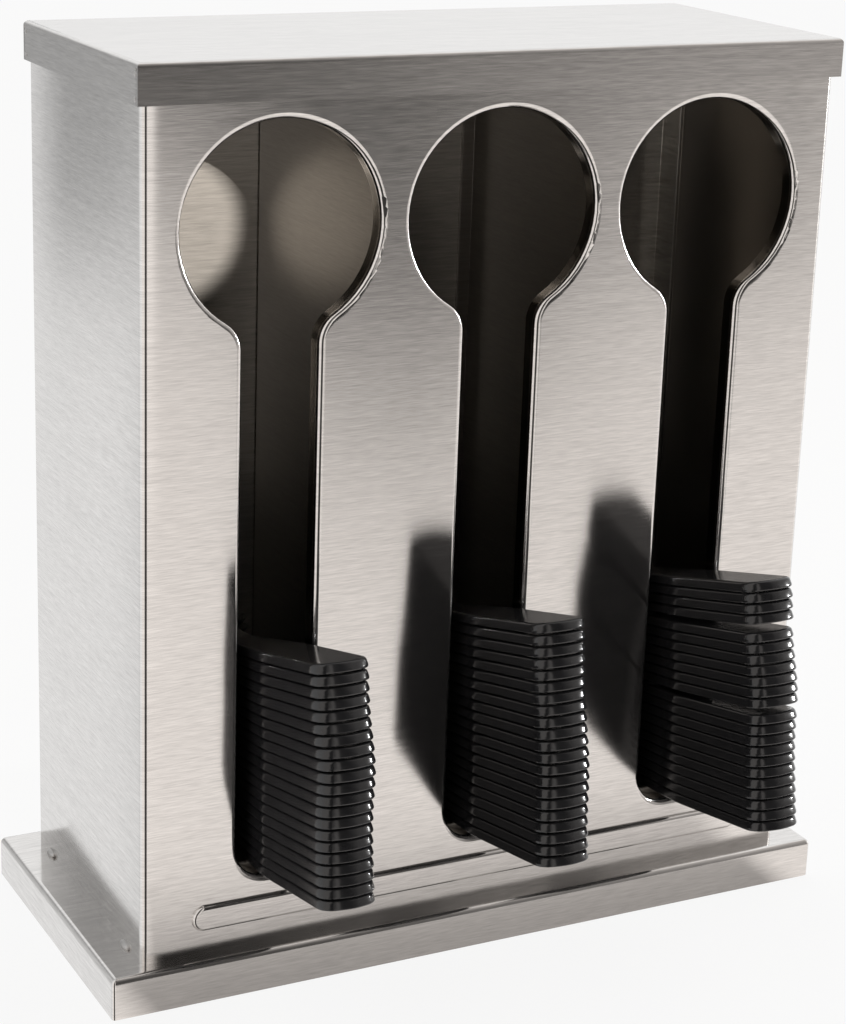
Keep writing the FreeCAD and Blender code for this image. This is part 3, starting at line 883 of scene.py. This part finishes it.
# %% [markdown]
# ## Floor
#
# The dispenser stands on a white paper sweep. Seen by the camera it is almost pure white, with just enough
# matt paper in it to keep the object's shadow. In the steel a real sweep would hide the lower half of the
# drawn room, and with it the flag's edge. So the steel looks through the sweep, which only dims that view
# close in front of the tray, where a real floor lies in the object's own shadow.

# %% Floor
FLOOR_HALF = 6.0
FLOOR_DROP = 0.2 * MM
FLOOR_WHITE = (0.86, 0.86, 0.855, 1.0)
FLOOR_GLOW = 0.88
FOOT_REACH = 0.10
FOOT_LIGHT = 0.42
FOOT_SOFT = 0.03


def floor_material():
    """White paper to the eye. To the steel it is a clear sheet that dims the room near the object's foot."""
    material = bpy.data.materials.new("white sweep")
    material.use_nodes = True
    tree = material.node_tree
    tree.nodes.clear()
    matt = put(tree, "BsdfDiffuse", Color=FLOOR_WHITE).outputs[0]
    glow = put(tree, "Emission", Color=WHITE, Strength=1.0).outputs[0]
    place = object_place(tree)
    low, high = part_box("base_tray")
    before = maths(tree, "SUBTRACT", low[1], place["Y"])
    beside = maths(tree, "SUBTRACT", maths(tree, "ABSOLUTE", place["X"]), high[0])
    in_front = smooth_range(tree, before, 0.0, FOOT_REACH, FOOT_LIGHT, 1.0)
    at_side = smooth_range(tree, beside, -FOOT_SOFT, 0.0, 0.0, 1.0)
    clear = put(tree, "BsdfTransparent", Color=maths(tree, "MAXIMUM", in_front, at_side)).outputs[0]
    path = put(tree, "LightPath").outputs
    to_eye = mix_shader(tree, FLOOR_GLOW, matt, glow)
    paper = mix_shader(tree, path["Is Camera Ray"], matt, to_eye)
    shown = mix_shader(tree, path["Is Glossy Ray"], paper, clear)
    put(tree, "OutputMaterial", Surface=shown)
    return material


bpy.ops.object.select_all(action="DESELECT")
bpy.ops.mesh.primitive_plane_add(size=2 * FLOOR_HALF, location=(0, 0, -FLOOR_DROP))
sweep = bpy.context.object
sweep.name = "sweep"
sweep.data.materials.append(floor_material())
print("floor", FLOOR_HALF * 2, "m")

# %% [markdown]
# ## World and lamps
#
# The world carries the drawn room, and shows plain white where the camera looks straight at it. Two small
# lamps add what a room by direction can't. A narrow warm beam falls through the left mouth onto the back
# panel, as daylight does there. It lights only the matt part of the metal, because its mirror image would be
# a white disc in the front view. A small lamp far out on the right makes the sparks on the handles' tips.

# %% The world


def studio_world():
    """The room all round, and plain white where the camera looks straight at it."""
    world = bpy.data.worlds.new("studio")
    scene.world = world
    world.use_nodes = True
    tree = world.node_tree
    tree.nodes.clear()
    way = put(tree, "TexCoord").outputs["Generated"]
    walls = put(tree, "Background", Color=room(tree, way), Strength=1.0).outputs[0]
    white = put(tree, "Background", Color=WHITE, Strength=1.0).outputs[0]
    seen = put(tree, "LightPath").outputs["Is Camera Ray"]
    put(tree, "OutputWorld", Surface=mix_shader(tree, seen, walls, white))


studio_world()
print("world", scene.world.name)

# %% Lamps
BEAM_FROM = 1.0
BEAM_RISE = 0.30
BEAM_POWER = 380.0
BEAM_RADIUS = 22 * MM
BEAM_SOURCE = 4 * MM
BEAM_BLEND = 0.3
BEAM_COLOUR = (1.0, 0.93, 0.86)
BEAM_AIM = Vector((BEAM_RADIUS / 7, 0, BEAM_RADIUS / 2))
SPARK_AT = (1.16, -0.37, 0.30)
SPARK_SIZE = (0.07, 0.05)
SPARK_POWER = 8.0
MIDDLE = (0.0, 0.0, 0.15)


def hang(name, data, at, look_at):
    """Puts a lamp in the scene, turned towards a point."""
    lamp = bpy.data.objects.new(name, data)
    scene.collection.objects.link(lamp)
    lamp.location = at
    lamp.rotation_euler = (Vector(look_at) - lamp.location).to_track_quat("-Z", "Y").to_euler()
    return lamp


def beam_through(side):
    """A narrow beam from above and in front that falls through one mouth onto the back panel behind it."""
    low, high = OPENINGS["mouth_" + side]
    mouth = Vector((hole_middle(side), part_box("body_shell")[0][1], (low[2] + high[2]) / 2))
    target = mouth + BEAM_AIM
    data = bpy.data.lights.new("beam_" + side, "SPOT")
    data.energy = BEAM_POWER
    data.color = BEAM_COLOUR
    data.shadow_soft_size = BEAM_SOURCE
    data.spot_size = 2 * math.atan(BEAM_RADIUS / BEAM_FROM)
    data.spot_blend = BEAM_BLEND
    lamp = hang("beam_" + side, data, target + Vector((0, -BEAM_FROM, BEAM_RISE)), target)
    lamp.visible_glossy = False
    return lamp


def spark_lamp(name):
    """A small rectangle of light that looks at the object's middle."""
    data = bpy.data.lights.new(name, "AREA")
    data.shape = "RECTANGLE"
    data.size, data.size_y = SPARK_SIZE
    data.energy = SPARK_POWER
    return hang(name, data, SPARK_AT, MIDDLE)


lamps = [beam_through("left"), spark_lamp("right_spark")]
print("lamps", [lamp.name for lamp in lamps])

# %% [markdown]
# ## View settings
#
# Blender's usual view transform bends colours to look like film. Standard leaves them as they are written,
# so a grey in a material is that grey in the picture.

# %% View settings
scene.view_settings.view_transform = "Standard"
